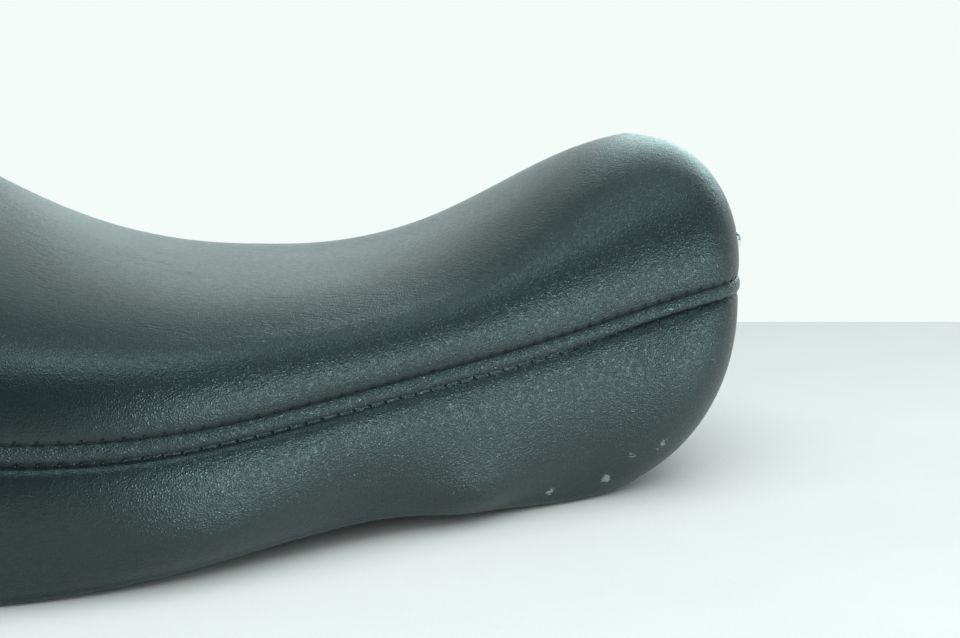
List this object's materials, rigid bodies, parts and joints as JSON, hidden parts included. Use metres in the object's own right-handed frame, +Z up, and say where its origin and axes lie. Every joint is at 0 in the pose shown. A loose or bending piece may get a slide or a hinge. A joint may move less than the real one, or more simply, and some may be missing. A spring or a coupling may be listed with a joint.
{
  "type": "padded saddle",
  "caption": "Padded saddle with a sewn leather cover, raised nose and wide cantle over a moulded base pan, with a hook, striker and tab for the frame below it.",
  "frame": {"origin": "centre of the bounding box in plan, on the plane that the hem rests on", "axes": "+X towards the nose, the narrow raised end with the stud; +Y to the rider's left; +Z up"},
  "size_m": [0.4582, 0.3604, 0.1483],
  "materials": {
    "leather": "black pebbled leather, satin",
    "foam": "open-cell moulded foam",
    "pan_plastic": "moulded, lightly textured",
    "zinc_steel": "zinc plated",
    "chrome": "polished",
    "rubber": "moulded, matt"
  },
  "bodies": {
    "root": {"top_cover": "leather", "side_panel_left": "leather", "side_panel_right": "leather", "cantle_panel": "leather", "nose_panel": "leather", "seam_band_left": "leather", "seam_band_right": "leather", "foam_cushion": "foam", "base_pan": "pan_plastic", "nose_hook": "zinc_steel", "striker_loop": "zinc_steel", "rear_tab": "zinc_steel", "hook_left_washer": "zinc_steel", "hook_left_bolt": "zinc_steel", "hook_left_tee_nut": "zinc_steel", "hook_right_washer": "zinc_steel", "hook_right_bolt": "zinc_steel", "hook_right_tee_nut": "zinc_steel", "striker_left_washer": "zinc_steel", "striker_left_bolt": "zinc_steel", "striker_left_tee_nut": "zinc_steel", "striker_right_washer": "zinc_steel", "striker_right_bolt": "zinc_steel", "striker_right_tee_nut": "zinc_steel", "rear_left_washer": "zinc_steel", "rear_left_bolt": "zinc_steel", "rear_left_tee_nut": "zinc_steel", "rear_right_washer": "zinc_steel", "rear_right_bolt": "zinc_steel", "rear_right_tee_nut": "zinc_steel", "bumper_front_left": "rubber", "bumper_front_right": "rubber", "bumper_middle_left": "rubber", "bumper_middle_right": "rubber", "bumper_rear_left": "rubber", "bumper_rear_right": "rubber", "stud_plate": "zinc_steel", "stud_bolt": "zinc_steel", "stud_washer": "chrome", "stud_dome_nut": "chrome"}
  },
  "joints": []
}
